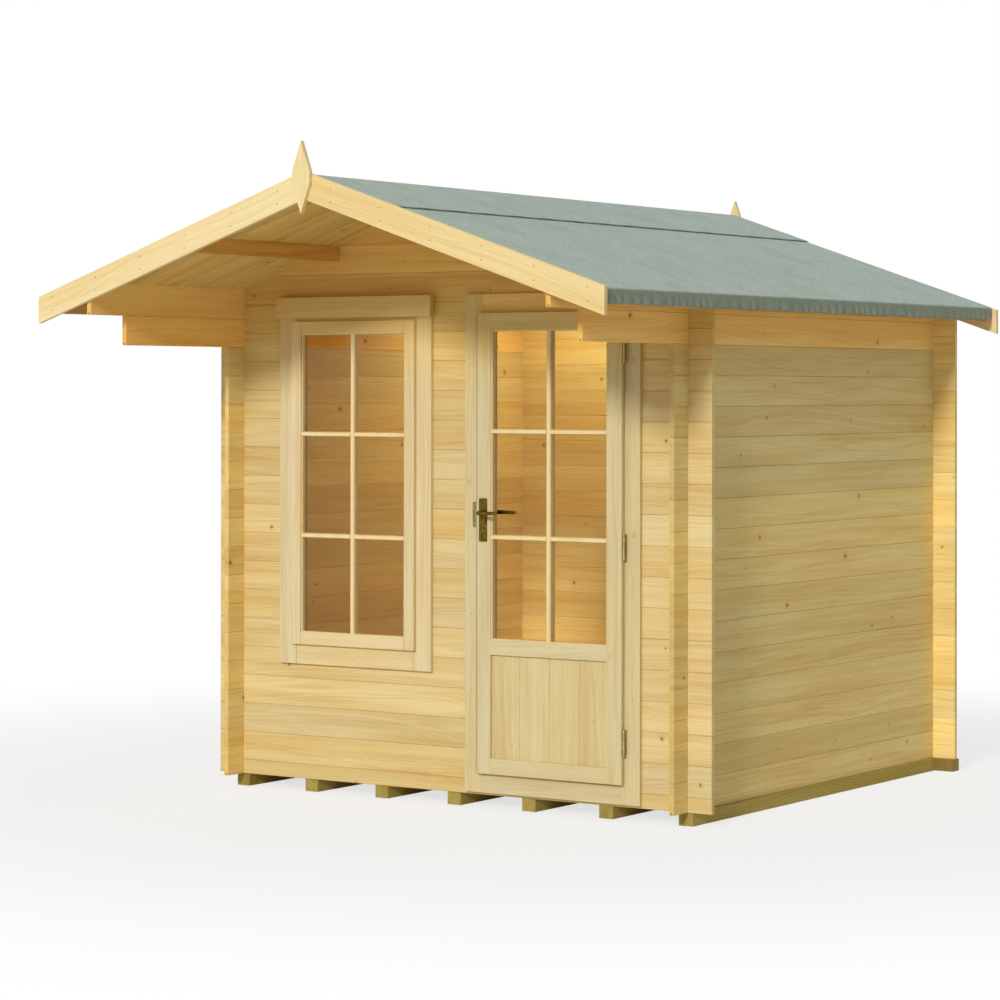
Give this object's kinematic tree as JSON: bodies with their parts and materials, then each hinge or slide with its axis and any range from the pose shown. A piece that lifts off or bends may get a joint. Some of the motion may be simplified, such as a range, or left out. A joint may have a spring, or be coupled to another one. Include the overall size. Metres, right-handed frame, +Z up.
{
  "type": "log cabin",
  "caption": "Small garden log cabin of interlocking pine logs with a felted pitched roof, a deep front overhang on corbel logs, a tall window and a part-glazed hinged door.",
  "frame": {"origin": "middle of the plan, on the underside of the middle floor bearer, at ground level", "axes": "+X to the right of someone facing the front, +Y towards the back wall, +Z up"},
  "size_m": [2.536, 3.169, 2.4822],
  "materials": {
    "pine_log": "planed bare pine logs with knots",
    "barge_timber": "planed bare pine board",
    "joinery": "planed pale pine joinery",
    "roof_timber": "planed pine boards",
    "floor_boards": "planed pine boards",
    "treated_timber": "rough sawn, pressure treated",
    "roofing_felt": "mineral-faced bitumen felt, matt",
    "clear_glass": "clear",
    "aged_brass": "dark aged brass",
    "hinge_steel": "zinc plated"
  },
  "bodies": {
    "cabin": {"floor_bearers": "treated_timber", "floor": "floor_boards", "front_sill_log": "pine_log", "front_wall_under_window": "pine_log", "front_wall_left": "pine_log", "front_wall_middle": "pine_log", "front_wall_right": "pine_log", "front_gable": "pine_log", "back_wall": "pine_log", "left_wall": "pine_log", "right_wall": "pine_log", "left_eaves_logs": "pine_log", "right_eaves_logs": "pine_log", "left_purlin": "roof_timber", "right_purlin": "roof_timber", "left_roof_boards": "roof_timber", "right_roof_boards": "roof_timber", "left_roof_felt": "roofing_felt", "right_roof_felt": "roofing_felt", "ridge_felt": "roofing_felt", "left_eaves_batten": "roof_timber", "right_eaves_batten": "roof_timber", "front_barge_left": "barge_timber", "front_barge_right": "barge_timber", "back_barge_left": "barge_timber", "back_barge_right": "barge_timber", "front_finial": "barge_timber", "back_finial": "barge_timber", "window_frame": "joinery", "window_drip_board": "joinery", "window_sash": "joinery", "window_glass": "clear_glass", "door_left_jamb": "joinery", "door_right_jamb": "joinery", "door_head": "joinery", "door_threshold": "joinery", "door_keep": "aged_brass", "frame_hinges": "hinge_steel"},
    "door": {"door_lock_stile": "joinery", "door_hinge_stile": "joinery", "door_rails": "joinery", "door_panel": "joinery", "door_glass": "clear_glass", "door_hinges": "hinge_steel", "door_handle_plates": "aged_brass"},
    "lever": {"door_lever": "aged_brass"}
  },
  "joints": [
    {"name": "door_hinge", "type": "hinge", "parent": "cabin", "child": "door", "pos_m": [0.7868, -1.0603, 1], "axis": [0, 0, 1], "range_deg": [0, 105]},
    {"name": "lever_turn", "type": "hinge", "parent": "door", "child": "lever", "pos_m": [0.165, -1.0663, 1.125], "axis": [0, 1, 0], "range_deg": [0, 45], "stiffness_Nm_per_rad": 1, "springref_deg": -28.65}
  ]
}
